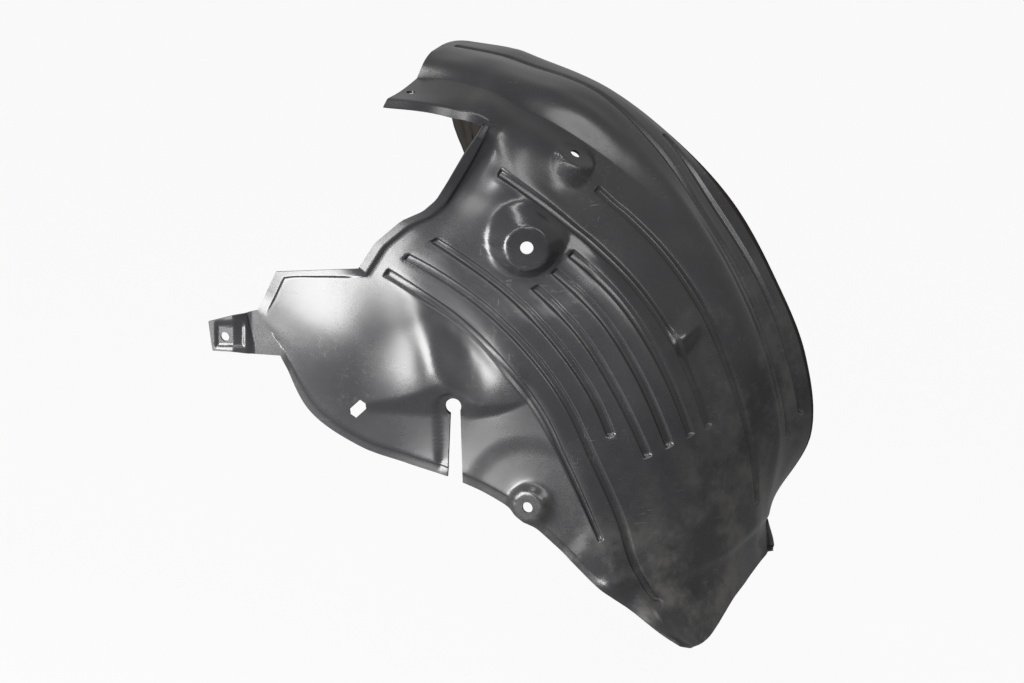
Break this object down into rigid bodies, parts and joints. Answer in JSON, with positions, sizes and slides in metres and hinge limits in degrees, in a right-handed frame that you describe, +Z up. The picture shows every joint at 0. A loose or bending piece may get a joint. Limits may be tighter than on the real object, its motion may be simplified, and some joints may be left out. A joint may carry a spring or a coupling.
{
  "type": "wheel arch liner",
  "caption": "Vacuum-formed rear half of a wheel arch liner: ribbed quarter bowl with a tab, a strut notch, a cable slot and screw seats.",
  "frame": {"origin": "centre of the main fixing hole, on the outer face of its flat seat", "axes": "+X to the rear of the car, +Y from the chassis to the wing, +Z up, as fitted"},
  "size_m": [0.5484, 0.2527, 0.555],
  "materials": {
    "liner_shell": "semi-gloss black vacuum-formed polyethylene"
  },
  "bodies": {
    "root": {"liner_shell": "liner_shell"}
  },
  "joints": []
}
